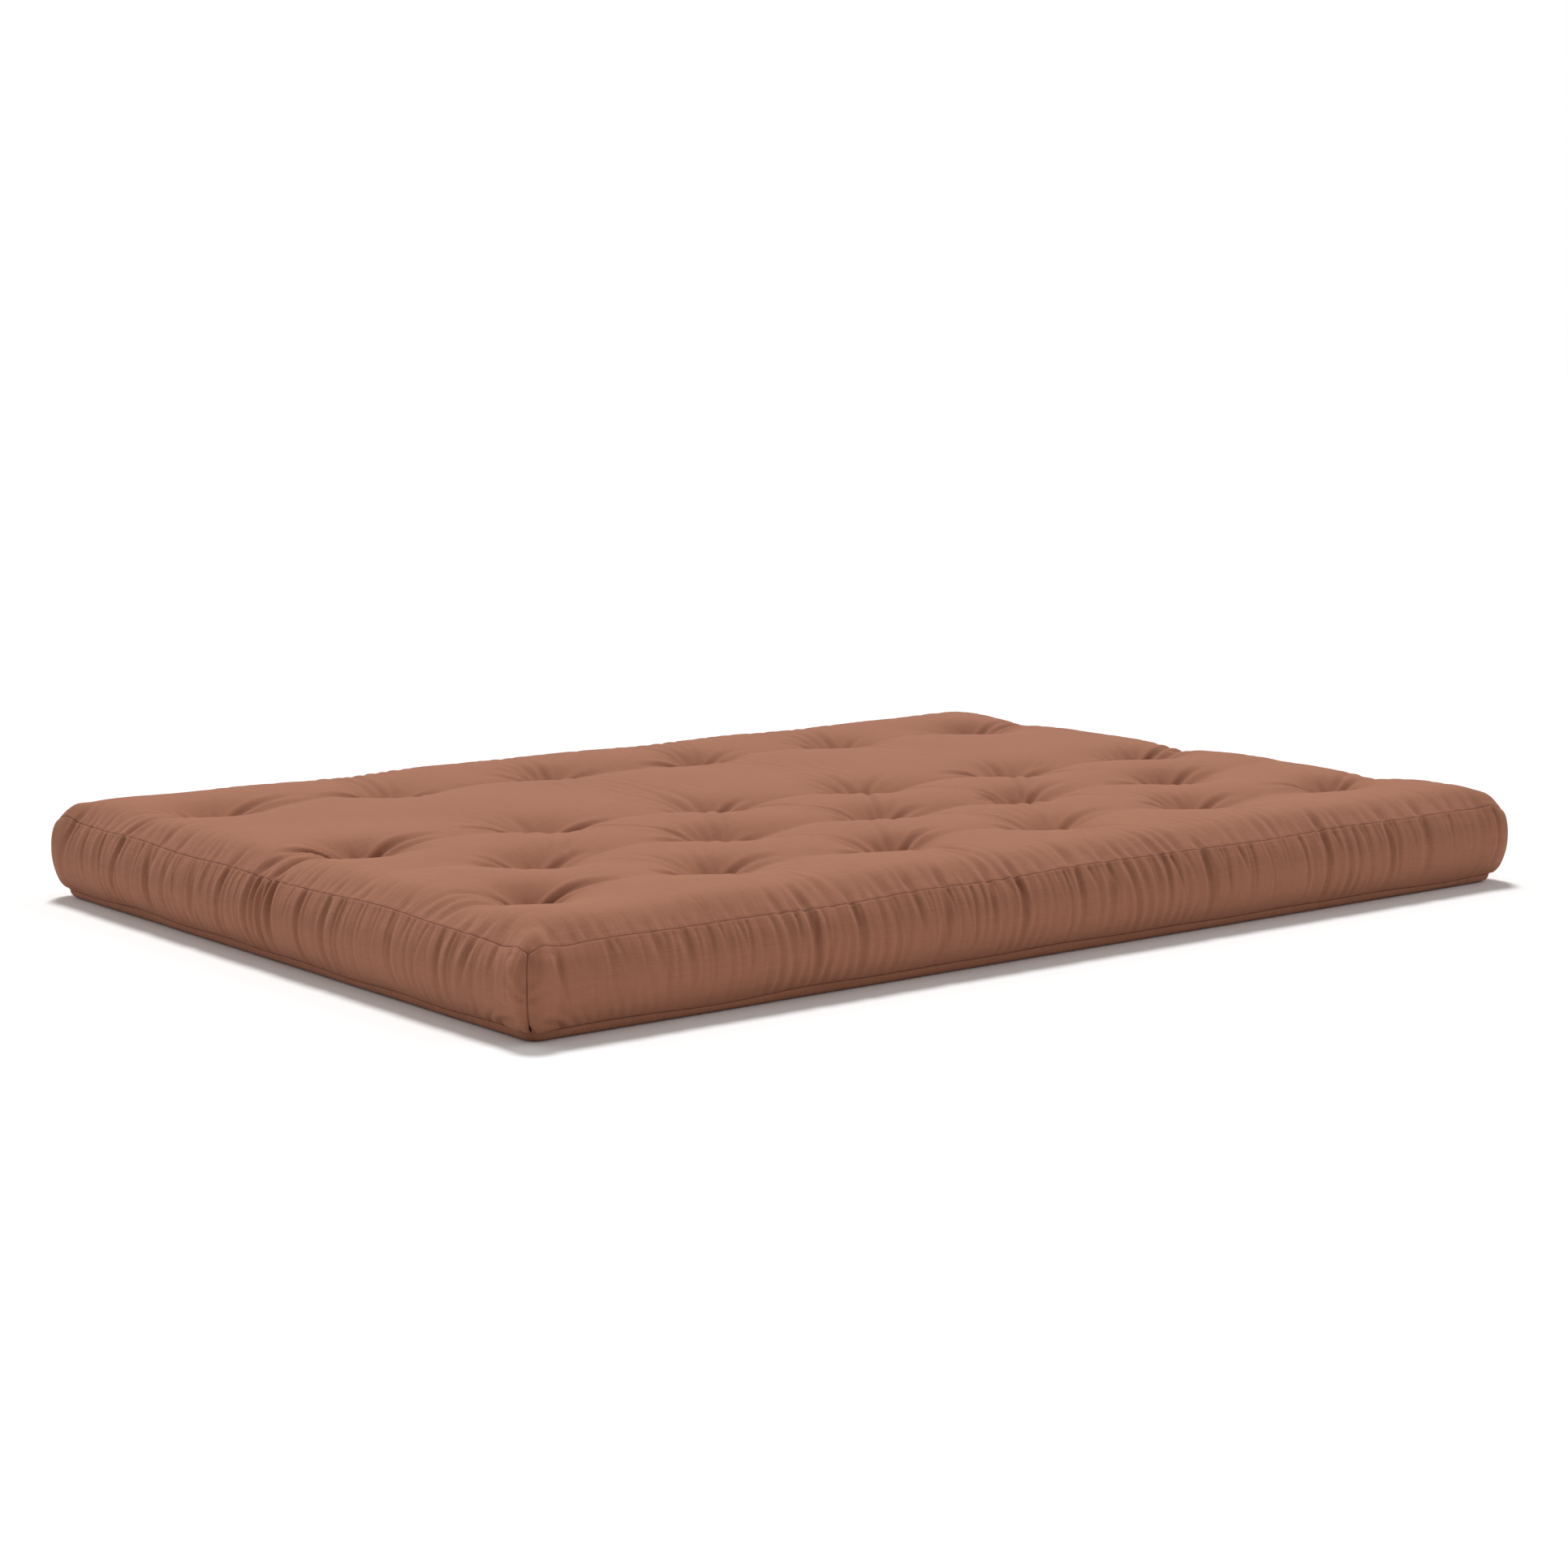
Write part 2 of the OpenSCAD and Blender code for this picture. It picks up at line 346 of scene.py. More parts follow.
def filling_top(u, v):
    """Top of the filling: a pillow between each two rows of tufts, lower round the tufts."""
    outside = WIDTH / 2 + 0.12
    marks = np.array([-outside] + ROW_PLACES + [outside])
    index = np.clip(np.searchsorted(marks, v) - 1, 0, len(marks) - 2)
    share = np.clip((v - marks[index]) / (marks[index + 1] - marks[index]), 0, 1)
    dome = (4 * share * (1 - share)) ** 0.6
    away = from_tufts(u, v)
    inward_u, inward_v = from_edges(u, v)
    row_pull = ROW_PULL * (1 - 0.6 * np.exp(-(inward_u / ROW_FADE) ** 2))
    pressed = row_pull * (1 - dome) + TUFT_PULL * np.exp(-(away / TUFT_REACH) ** 2)
    edge = np.minimum(np.minimum(inward_u, inward_v) / SHOULDER, 1)
    high = CROWN - UPPER_SEAM + CROWN_WAVE * field(u, v, 0.30, 12) - pressed
    fuller = np.where(v < 0, *CORNER_FILL)
    high += fuller * np.exp(-((inward_u - 0.09) / 0.09) ** 2 - ((inward_v - 0.08) / 0.07) ** 2)
    return UPPER_SEAM + high * np.sin(edge * math.pi / 2)


TUFT_FOLDS = [  # direction in degrees, length, depth and bend of the folds at each tuft
    (152, 0.13, 0.0050, 2.5), (128, 0.09, 0.0035, 2.0), (172, 0.08, 0.0030, -2.0),
    (24, 0.15, 0.0045, -2.0), (-28, 0.07, 0.0025, 2.0), (205, 0.07, 0.0025, -2.0),
    (75, 0.06, 0.0020, 0.0), (-80, 0.06, 0.0020, 0.0),
]


def tuft_fold_depth(u, v):
    """How deep the folds that run out of the tufts lie at each point of the top."""
    rng = np.random.default_rng(41)
    total = np.zeros(np.shape(u))
    for x, y, _ in TUFTS:
        for angle, reach, deep, bend in TUFT_FOLDS:
            turn = math.radians(angle + rng.normal(0, 9))
            reach = reach * rng.uniform(0.7, 1.25)
            deep = deep * rng.uniform(1.15, 2.75)
            near = np.nonzero((np.abs(u - x) < reach) & (np.abs(v - y) < reach))[0]
            dx, dy = u[near] - x, v[near] - y
            away = np.hypot(dx, dy)
            off = np.arctan2(dy, dx) - turn - bend * away
            off = (off + math.pi) % (2 * math.pi) - math.pi
            wide = 0.0032 + 0.05 * away
            lateral = away * np.sin(np.clip(off, -math.pi / 2, math.pi / 2)) / wide
            side = np.where(np.abs(off) < math.pi / 2, 1, 0)
            shape = np.exp(-lateral ** 2) - 0.45 * np.exp(-(np.abs(lateral) - 1.9) ** 2)
            fade = np.clip(1 - away / reach, 0, 1) * np.clip(away / 0.012, 0, 1)
            total[near] += deep * shape * fade * side
        away = np.hypot(u - x, v - y)
        total += 0.004 * np.exp(-away / 0.014) * np.clip(away / 0.010, 0, 1)
    return total


def start_shape(cloth):
    """The cover before it relaxes: a loaf with a soft dimple at each tuft."""
    u, v, down = cloth.u, cloth.v, cloth.down
    seam, foot = seam_height(u, v), foot_height(u, v)
    z = filling_top(u, v) - 0.03 * np.exp(-(from_tufts(u, v) / 0.05) ** 2)
    z = np.where(down > 0, seam + (foot - seam) * down, z)
    x, y = rounded(u, v)
    swell = 0.95 * SWELL * np.sin(math.pi * down) ** 0.7
    outward = unit(cloth.out)
    return np.stack([x + outward[:, 0] * swell, y + outward[:, 1] * swell, z], -1)


def held_points(cloth):
    """(mask, places) of the points that are held: the lower edge, the corners and the tufts."""
    u, v, down = cloth.u, cloth.v, cloth.down
    held_at = start_shape(cloth)
    held = cloth.corner & (down > 0.12) | (down == 1)
    for x, y, z in TUFTS:
        away = np.where(down == 0, np.hypot(u - x, v - y), 1)
        near = np.nonzero(away < PINCH)[0] if (away < PINCH).any() else [np.argmin(away)]
        held[near] = True
        held_at[near] = np.stack([u[near], v[near], np.full(len(near), z - TUFT_SINK)], -1)
    return held, held_at


def filling_push(cloth, free):
    """A function that moves the points by one step of the filling's push, in place."""
    u, v, down, out = cloth.u, cloth.v, cloth.down, cloth.out
    ring = cloth.side[0]
    seam = seam_height(u, v)[ring]
    creases = crease_depth(u, v, down, out)
    filling = filling_top(u, v) - creases
    inward_u, inward_v = from_edges(u, v)
    from_corner = np.where(out[:, 0] != 0, inward_v, inward_u)
    fullness = 0.65 + 0.35 * np.clip(from_corner / 0.16, 0, 1) ** 0.7
    top = down == 0

    def push(points):
        points[:, 2] += np.where(top, SOFT_FILL * (filling - points[:, 2]), 0) * free
        up = np.clip((points[:, 2] - LOWER_SEAM) / BORDER, 0, 1)
        swell = SIDE_SWELL * SWELL * fullness * np.sin(math.pi * up) ** 0.7 - 0.6 * creases
        for axis, half in ((0, LENGTH / 2), (1, WIDTH / 2)):
            gap = np.clip(half + swell - points[:, axis] * out[:, axis], *SIDE_REACH)
            points[:, axis] += out[:, axis] * SIDE_FILL * gap * free
        points[ring, 2] += SEAM_HOLD * (seam - points[ring, 2]) * free[ring]
    return push


def pull_springs(points, batches):
    """One pass over the springs, which moves the points in place."""
    for a, b, length, pull, push, share_a, share_b in batches:
        gap = points[b] - points[a]
        apart = np.sqrt(np.einsum("ij,ij->i", gap, gap)) + 1e-9
        change = (apart - length) / apart
        change *= np.where(change > 0, pull, push)
        gap *= change[:, None]
        points[a] += gap * share_a[:, None]
        points[b] -= gap * share_b[:, None]


def relax(points, cloth, level):
    """Lets the cloth settle over its filling, with its lower edge and its tufts held."""
    rng = np.random.default_rng(5 + level)
    limit = SPEED_LIMIT * CELLS[level]
    held, held_at = held_points(cloth)
    free = (~held).astype(float)
    uneven = rng.normal(0, START_NOISE / (1 + level), points.shape)
    points = points + uneven * free[:, None]
    points[held] = held_at[held]
    batches = springs(cloth, level, free)
    push = filling_push(cloth, free)
    speed = np.zeros_like(points)
    for _ in range(STEPS[level]):
        before = points.copy()
        points = points + speed
        push(points)
        for _ in range(PASSES):
            pull_springs(points, batches)
        points[held] = held_at[held]
        speed = np.clip((points - before) * KEPT_SPEED, -limit, limit)
    return points


def twice(grid, wrap=False):
    """The grid with a new row and column half-way between each two; wrap closes the rows."""
    if wrap:
        grid = np.concatenate([grid, grid[:, :1]], 1)
    rows = np.zeros((grid.shape[0] * 2 - 1,) + grid.shape[1:])
    rows[::2] = grid
    rows[1::2] = (grid[1:] + grid[:-1]) / 2
    both = np.zeros((rows.shape[0], rows.shape[1] * 2 - 1, 3))
    both[:, ::2] = rows
    both[:, 1::2] = (rows[:, 1:] + rows[:, :-1]) / 2
    return both[:, :-1] if wrap else both


def finer(points, coarse, fine):
    """Carries the relaxed shape over to the next, finer level."""
    made = np.zeros((len(fine.u), 3))
    made[fine.side.ravel()] = twice(points[coarse.side], True).reshape(-1, 3)
    made[fine.top.ravel()] = twice(points[coarse.top]).reshape(-1, 3)
    return made


def smoothed(points, faces, share, rounds):
    """Moves each point towards the middle of its neighbours, by its share, round by round."""
    a, b = faces.ravel(), np.roll(faces, -1, 1).ravel()
    near = (share[a] > 0.001) | (share[b] > 0.001)
    a, b = np.concatenate([a[near], b[near]]), np.concatenate([b[near], a[near]])
    count = np.maximum(np.bincount(a, minlength=len(points)), 1)
    for _ in range(rounds):
        mean = np.stack([np.bincount(a, points[b, axis], len(points)) / count
                         for axis in range(3)], -1)
        points = points + np.where(share > 0.001, share, 0)[:, None] * (mean - points)
    return points


CORNERS = [(-1, -1, 0.010), (-1, 1, 0.001), (1, -1, 0.001), (1, 1, 0.001)]  # x, y, lift of the tip
CORNER_BULGE = 0.009  # how far the cover stands out more at mid-height of a corner
TIP_REACH = 0.022  # how far round its tip the pinches are smoothed
TIP_OUT = 0.008  # how far the tip is moved out again
TIP_RING = 0.005  # how far the top is raised in a ring round the tip


def fuller_corners(points, cloth):
    """Rounds the corners: no pinches at their tips, and the cover stands out at mid-height."""
    from_tip = np.hypot(np.hypot(*from_edges(cloth.u, cloth.v)), cloth.down * BORDER)
    points = smoothed(points, cloth.faces(), 0.9 * np.exp(-(from_tip / TIP_REACH) ** 2), 30)
    moved = points.copy()
    for x, y, lift in CORNERS:
        tip = points[np.argmax(x * cloth.u + y * cloth.v - cloth.down)]
        aside = np.hypot(points[:, 0] - tip[0], points[:, 1] - tip[1])
        away = np.linalg.norm(points - tip, axis=1)
        at_tip = np.exp(-(away / 0.03) ** 2)
        outward = CORNER_BULGE * np.exp(-(aside / 0.055) ** 2) * np.sin(math.pi * cloth.down) ** 0.7
        outward += TIP_OUT * at_tip
        moved[:, :2] += outward[:, None] * np.array([x, y]) / math.sqrt(2)
        moved[:, 2] += at_tip * lift
        raised = TIP_RING * np.exp(-((away - 0.03) / 0.02) ** 2) * np.clip(away / 0.02, 0, 1)
        moved[:, 2] += np.where(cloth.down == 0, raised, 0)
    return moved


def relaxed_cover():
    """(points, cloth) of the cover at its finest level."""
    levels = 3
    cloth = Cloth(CELLS[0])
    points = relax(start_shape(cloth), cloth, 0)
    for level in range(1, levels):
        fine = Cloth(CELLS[level])
        points = relax(finer(points, cloth, fine), fine, level)
        cloth = fine
    high = points[:, 2] > EASE_FROM
    room = TOP_LIMIT - EASE_FROM
    points[high, 2] = EASE_FROM + room * np.tanh((points[high, 2] - EASE_FROM) / room)
    return fuller_corners(points, cloth), cloth


# ---------- mesh helpers
def quads(ids, wrap=False):
    """Faces of a grid of point numbers; wrap closes the second direction."""
    after = np.roll(ids, -1, 1) if wrap else ids[:, 1:]
    ids = ids if wrap else ids[:, :-1]
    return np.stack([ids[:-1], ids[1:], after[1:], after[:-1]], -1).reshape(-1, 4)


def shell_faces(ids):
    """Faces of a closed shell: a grid of points, the same grid once more, and their rim."""
    faces, rim, shift = quads(ids), round_edge(ids), ids.size
    after = np.roll(rim, -1)
    edge = np.stack([rim, rim + shift, after + shift, after], -1)
    return np.concatenate([faces, faces[:, ::-1] + shift, edge])


def point_normals(points, faces):
    """Unit normals of the points, from the faces round them."""
    a, b, c, d = (points[faces[:, k]] for k in range(4))
    normal = np.cross(c - a, d - b)
    total = np.zeros_like(points)
    for k in range(4):
        for axis in range(3):
            total[:, axis] += np.bincount(faces[:, k], normal[:, axis], len(points))
    return unit(total)


def placed(name, data):
    """A new object in the scene."""
    made = bpy.data.objects.new(name, data)
    bpy.context.scene.collection.objects.link(made)
    return made


def make_object(name, points, faces, flat, crease_shade=None):
    """A smooth mesh object. flat is each point's place on the cut cloth; the last argument is 0 to
    1, how deep the point lies in a hollow, by which the cloth is darkened as painted shade.
    """
    mesh = bpy.data.meshes.new(name)
    points = np.asarray(points, np.float32)
    faces = np.asarray(faces, np.int32)
    mesh.vertices.add(len(points))
    mesh.vertices.foreach_set("co", points.ravel())
    mesh.loops.add(faces.size)
    mesh.loops.foreach_set("vertex_index", faces.ravel())
    mesh.polygons.add(len(faces))
    starts = np.arange(0, faces.size, faces.shape[1], dtype=np.int32)
    mesh.polygons.foreach_set("loop_start", starts)
    mesh.update(calc_edges=True)
    mesh.validate()
    mesh.polygons.foreach_set("use_smooth", np.ones(len(mesh.polygons), bool))
    layer = mesh.attributes.new("flat", "FLOAT_VECTOR", "POINT")
    layer.data.foreach_set("vector", np.asarray(flat, np.float32).ravel())
    if crease_shade is not None:
        layer = mesh.attributes.new("crease_shade", "FLOAT", "POINT")
        layer.data.foreach_set("value", np.asarray(crease_shade, np.float32).ravel())
    return placed(name, mesh)


def closed_shell(name, grid, flat, crease_shade, thickness):
    """A sheet with a thickness, made from a grid whose normals point out of the mattress."""
    ids = np.arange(grid[..., 0].size).reshape(grid.shape[:2])
    outer = grid.reshape(-1, 3)
    inner = outer - point_normals(outer, quads(ids)) * thickness
    return make_object(name, np.concatenate([outer, inner]), shell_faces(ids),
                       np.concatenate([flat, flat]), np.concatenate([crease_shade, crease_shade]))


HEM_INWARD = np.array([0.0001, 0.0004, 0.0014])  # places of a turned-in edge's three lines
HEM_DEPTH = np.array([0.0030, 0.0006, 0.0])  # and how deep they lie
SLIT = 0.0010  # half the width of the open slit at the foot of a corner
SLIT_TOP = 0.014  # its height over the lower seam


def hem_profile(count):
    """(depth, source row) of each row, once the edges of a grid of count rows are turned in."""
    depth = np.concatenate([HEM_DEPTH, np.zeros(count - 2), HEM_DEPTH[::-1]])
    return depth, np.clip(np.arange(len(depth)) - (len(HEM_DEPTH) - 1), 0, count - 1)


def hem_lines(grid, widen=0.0):
    """Replaces the first and last row by the three lines of a turned-in edge."""
    widen = np.asarray(widen)[..., None]
    made = []
    for edge, inner in ((grid[0], grid[1]), (grid[-1], grid[-2])):
        inward = unit(inner - edge)
        made.append(np.stack([edge + inward * (step + widen) for step in HEM_INWARD]))
    return np.concatenate([made[0], grid[1:-1], made[1][::-1]])


def hemmed(grid, normals, flat, slit=False):
    """The grid with turned-in edges on its four sides: (points, flat) as grids.

    With slit, its two upright edges stand apart at their foot.
    """
    depth_rows, rows = hem_profile(grid.shape[0])
    depth_columns, columns = hem_profile(grid.shape[1])
    packed = hem_lines(grid).transpose(1, 0, 2)
    widen = 0.0
    if slit:
        heights = packed[0, :, 2]
        widen = SLIT * np.clip((LOWER_SEAM + SLIT_TOP - heights) / 0.006, 0, 1)
        widen *= np.clip((heights - LOWER_SEAM + 0.001) / 0.002, 0, 1)
    packed = hem_lines(packed, widen).transpose(1, 0, 2)
    depth = np.maximum(depth_rows[:, None], depth_columns[None, :])
    points = packed - normals[rows][:, columns] * depth[..., None]
    return points, flat[rows][:, columns]


def run_length(path):
    """Length of the path up to each of its points."""
    return np.concatenate([[0], np.cumsum(np.linalg.norm(np.diff(path, axis=0), axis=1))])


def tube(path, radius, sides, closed=False):
    """(points, faces, flat) of a tube along a path; flat is the length and the angle."""
    path = np.asarray(path)
    ahead = np.roll(path, -1, 0) - np.roll(path, 1, 0)
    if not closed:
        ahead[0], ahead[-1] = path[1] - path[0], path[-1] - path[-2]
    ahead = unit(ahead)
    side = np.zeros_like(path)
    helper = np.array([0.0, 0.0, 1.0]) if abs(ahead[0, 2]) < 0.9 else np.array([1.0, 0.0, 0.0])
    previous = np.cross(ahead[0], helper)
    for i, direction in enumerate(ahead):
        previous = unit(previous - direction * previous.dot(direction))
        side[i] = previous
    lift = np.cross(side, ahead)
    angles = np.arange(sides) * 2 * math.pi / sides
    cos, sin = np.cos(angles)[None, :, None], np.sin(angles)[None, :, None]
    points = path[:, None] + (side[:, None] * cos + lift[:, None] * sin) * radius
    ids = np.arange(points.shape[0] * sides).reshape(-1, sides)
    if closed:
        ids = np.concatenate([ids, ids[:1]])
    faces = quads(ids, wrap=True)
    flat = np.stack(np.broadcast_arrays(run_length(path)[:, None], angles * 0.001, 0.0), -1)
    points, flat = points.reshape(-1, 3), flat.reshape(-1, 3)
    triangles = np.concatenate([faces[:, [0, 1, 2]], faces[:, [0, 2, 3]]])
    if not closed:
        points = np.concatenate([points, path[:1], path[-1:]])
        flat = np.concatenate([flat, flat[:1], flat[-1:]])
        start, end = len(points) - 2, len(points) - 1
        caps = [(start, a, b) for a, b in zip(np.roll(ids[0], -1), ids[0])]
        caps += [(end, a, b) for a, b in zip(ids[-1], np.roll(ids[-1], -1))]
        triangles = np.concatenate([triangles, caps])
    return points, triangles, flat


def joined_tubes(name, tubes):
    """One object from several tubes."""
    points, faces, flats = zip(*tubes)
    starts = np.cumsum([0] + [len(co) for co in points])
    faces = [triangles + start for triangles, start in zip(faces, starts)]
    return make_object(name, np.concatenate(points), np.concatenate(faces), np.concatenate(flats))


# ---------- materials
def add(tree, kind, **values):
    """A shader node with its properties and its unlinked inputs set."""
    made = tree.nodes.new(kind)
    for key, value in values.items():
        if key in made.bl_rna.properties:
            setattr(made, key, value)
        else:
            made.inputs[key.replace("_", " ")].default_value = value
    return made


def combine(tree, operation, *values):
    """A math node; its values are numbers or sockets."""
    made = tree.nodes.new("ShaderNodeMath")
    made.operation = operation
    for socket, value in zip(made.inputs, values):
        if isinstance(value, (int, float)):
            socket.default_value = value
        else:
            tree.links.new(value, socket)
    return made.outputs[0]


def varied(tree, shade, noise_height, amount):
    """The shade, made lighter and darker by a noise."""
    change = combine(tree, "MULTIPLY", combine(tree, "SUBTRACT", noise_height, 0.5), amount)
    return combine(tree, "ADD", shade, change)


def new_material(name, roughness, sheen=0.0, specular=0.3):
    """(material, its node tree, its Principled shader)."""
    material = bpy.data.materials.new(name)
    material.use_nodes = True
    tree = material.node_tree
    shader = tree.nodes["Principled BSDF"]
    shader.inputs["Roughness"].default_value = roughness
    shader.inputs["Sheen Weight"].default_value = sheen
    shader.inputs["Sheen Roughness"].default_value = 0.5
    shader.inputs["Specular IOR Level"].default_value = specular
    return material, tree, shader


def cut_place(tree, *scale):
    """The place on the cut cloth, in metres, stretched by three scales."""
    place = add(tree, "ShaderNodeAttribute", attribute_type="GEOMETRY", attribute_name="flat")
    stretch = add(tree, "ShaderNodeVectorMath", operation="MULTIPLY")
    tree.links.new(place.outputs["Vector"], stretch.inputs[0])
    stretch.inputs[1].default_value = scale
    return stretch.outputs[0]


def cut_axes(tree, *scale):
    """The coordinates of that place, as three sockets."""
    axes = add(tree, "ShaderNodeSeparateXYZ")
    tree.links.new(cut_place(tree, *scale), axes.inputs[0])
    return axes.outputs


def noise(tree, scales, detail, roughness=0.5):
    """A noise over the cut cloth, from 0 to 1. The scales are about its features per metre."""
    made = add(tree, "ShaderNodeTexNoise", Scale=1.0, Detail=detail, Roughness=roughness)
    tree.links.new(cut_place(tree, *scales), made.inputs["Vector"])
    return made.outputs[0]


def bump(tree, height, distance, strength, normal=None):
    """The normal, bent by a height."""
    made = add(tree, "ShaderNodeBump", Distance=distance, Strength=strength)
    tree.links.new(height, made.inputs["Height"])
    if normal is not None:
        tree.links.new(normal, made.inputs["Normal"])
    return made.outputs[0]


def painted(tree, shader, colour, shade, normal=None):
    """Gives the shader the colour, scaled by the shade, and the normal."""
    tint = add(tree, "ShaderNodeVectorMath", operation="SCALE")
    tint.inputs[0].default_value = colour
    tree.links.new(shade, tint.inputs["Scale"])
    tree.links.new(tint.outputs[0], shader.inputs["Base Color"])
    if normal is not None:
        tree.links.new(normal, shader.inputs["Normal"])


def weave(tree, pitch):
    """Height of a plain weave: the warp and the weft pass over each other in turn."""
    turns = math.pi / pitch
    across, along, _ = cut_axes(tree, turns, turns, turns)
    return combine(tree, "MULTIPLY", combine(tree, "SINE", across), combine(tree, "SINE", along))


GATHER_REACH = 0.085  # how far the finest gathers run in from the seams


def shoulder_gathers(tree):
    """Height of the finest gathers of the panels, which run in from their seams and fade out."""
    place = cut_axes(tree, 1.0, 1.0, 1.0)
    sides = []
    for axis, size, scales in ((1, WIDTH, (75.0, 8.0, 1.0)), (0, LENGTH, (8.0, 75.0, 1.0))):
        across = combine(tree, "ABSOLUTE", place[axis])
        inward = combine(tree, "SUBTRACT", size / 2, across)
        near = combine(tree, "SUBTRACT", 1.0, combine(tree, "DIVIDE", inward, GATHER_REACH))
        near = combine(tree, "MAXIMUM", near, 0.0)
        ridges = noise(tree, scales, 2.0)
        sides.append(combine(tree, "MULTIPLY", ridges, near))
    return combine(tree, "ADD", *sides)


def cotton(name, colour, gathered=False):
    """Matt plain-weave cotton, with slubs in both threads, a slightly uneven dye, and painted shade
    in the hollows of the cover.
    """
    material, tree, shader = new_material(name, 0.9, sheen=0.04, specular=0.15)
    warp = noise(tree, (700.0, 22.0, 1.0), 1.0)
    weft = noise(tree, (18.0, 620.0, 1.0), 1.0)
    slubs = combine(tree, "ADD", warp, weft)
    patches = noise(tree, (5.0, 5.0, 5.0), 3.0)
    mottle = noise(tree, (60.0, 60.0, 60.0), 3.0)
    crease_shade = add(tree, "ShaderNodeAttribute", attribute_type="GEOMETRY", attribute_name="crease_shade")
    shade = combine(tree, "MULTIPLY_ADD", slubs, 0.26, 0.74)
    shade = varied(tree, varied(tree, shade, patches, 0.10), mottle, 0.06)
    # Painted shade: the cloth is darkened in the hollows and creases of the cover, by up to 0.16 of
    # its shade.
    shade = combine(tree, "SUBTRACT", shade, combine(tree, "MULTIPLY", crease_shade.outputs["Fac"], 0.16))
    rough = combine(tree, "MULTIPLY_ADD", slubs, 0.10, 0.80)
    tree.links.new(rough, shader.inputs["Roughness"])
    crumple = noise(tree, (45.0, 45.0, 45.0), 4.0, 0.6)
    normal = bump(tree, crumple, 0.004, 0.10)
    if gathered:
        normal = bump(tree, shoulder_gathers(tree), 0.005, 0.5, normal)
    normal = bump(tree, slubs, 0.0006, 0.45, normal)
    normal = bump(tree, weave(tree, 0.0007), 0.0002, 0.35, normal)
    painted(tree, shader, colour, shade, normal)
    return material


def felt_material():
    """Raw cotton felt: matted pale fibres with a few darker seed flecks."""
    material, tree, shader = new_material("raw_cotton_felt", 0.95, sheen=0.3, specular=0.1)
    fibres = noise(tree, (240.0, 60.0, 90.0), 5.0, 0.7)
    tufts = noise(tree, (30.0, 30.0, 30.0), 3.0)
    flecks = noise(tree, (190.0, 190.0, 190.0), 1.0)
    dark = combine(tree, "MULTIPLY", combine(tree, "GREATER_THAN", flecks, 0.70), 0.35)
    shade = combine(tree, "SUBTRACT", combine(tree, "MULTIPLY_ADD", fibres, 0.25, 0.84), dark)
    normal = bump(tree, fibres, 0.002, 0.8, bump(tree, tufts, 0.006, 0.5))
    painted(tree, shader, (0.80, 0.75, 0.62), shade, normal)
    return material


def foam_material():
    """Open-cell foam, pale yellow, with fine pores."""
    material, tree, shader = new_material("open_cell_foam", 0.85, specular=0.2)
    cells = add(tree, "ShaderNodeTexVoronoi", Scale=1.0)
    tree.links.new(cut_place(tree, 600.0, 600.0, 600.0), cells.inputs["Vector"])
    clouds = noise(tree, (12.0, 12.0, 12.0), 2.0)
    shade = combine(tree, "MULTIPLY_ADD", cells.outputs["Distance"], -0.35, 1.05)
    shade = varied(tree, shade, clouds, 0.1)
    pores = bump(tree, cells.outputs["Distance"], 0.001, 0.9)
    painted(tree, shader, (0.84, 0.70, 0.36), shade, pores)
    return material


def twisted(name, colour, plies):
    """A twisted yarn, whose plies wind round it: plies is radians per metre of its length."""
    material, tree, shader = new_material(name, 0.7, sheen=0.2, specular=0.35)
    length, angle, _ = cut_axes(tree, plies, 2000.0, 1.0)
    lay = combine(tree, "SINE", combine(tree, "ADD", length, angle))
    fuzz = noise(tree, (900.0, 900.0, 900.0), 2.0)
    # Painted shade: the yarn is darker in the grooves between its plies, where the lay's bump
    # sinks.
    shade = varied(tree, combine(tree, "MULTIPLY_ADD", lay, 0.16, 0.90), fuzz, 0.2)
    painted(tree, shader, colour, shade, bump(tree, lay, 0.0004, 0.8))
    return material


def floor_material():
    """A plain pale floor with a faint mottle."""
    material, tree, shader = new_material("studio_floor", 0.9, specular=0.1)
    place = add(tree, "ShaderNodeTexCoord")
    grain = add(tree, "ShaderNodeTexNoise", Scale=3.0, Detail=2.0)
    tree.links.new(place.outputs["Object"], grain.inputs["Vector"])
    shade = combine(tree, "MULTIPLY_ADD", grain.outputs[0], 0.01, 0.99)
    painted(tree, shader, (0.93, 0.93, 0.93), shade)
    return material


COVER = cotton("terracotta_cotton", (0.335, 0.142, 0.083), gathered=True)
# The borders' copy of the cotton has no shoulder gathers, and its colour is a touch darker than the
# top's: painted shade for the upright sides.
SHADED_BORDER_COTTON = cotton("terracotta_cotton_border_shaded", (0.330, 0.138, 0.081))
FELT = felt_material()
FOAM = foam_material()
THREAD = twisted("polyester_thread", (0.16, 0.065, 0.04), 5000.0)
TWINE = twisted("waxed_twine", (0.30, 0.13, 0.085), 1800.0)


def finished(piece, material, nodes, body=None):
    """Gives a piece its material and hides the CAD nodes that it stands for; with a body it is
    attached to that body, and without one its place is baked into its mesh.
    """
    piece.data.materials.append(material)
    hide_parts(*nodes)
    if body is None:
        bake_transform(piece)
    else:
        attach(piece, body)


# ---------- the cover
CREASE_SHARE = 0.72  # how much of each crease is still added after the cloth has settled


def between(grid):
    """The grid with a smooth column added between each two columns."""
    before = 2 * grid[:, :1] - grid[:, 1:2]
    after = 2 * grid[:, -1:] - grid[:, -2:-1]
    wide = np.concatenate([before, grid, after], 1)
    middle = (9 * (grid[:, 1:] + grid[:, :-1]) - wide[:, :-3] - wide[:, 3:]) / 16
    made = np.zeros((grid.shape[0], grid.shape[1] * 2 - 1) + grid.shape[2:])
    made[:, ::2], made[:, 1::2] = grid, middle
    return made


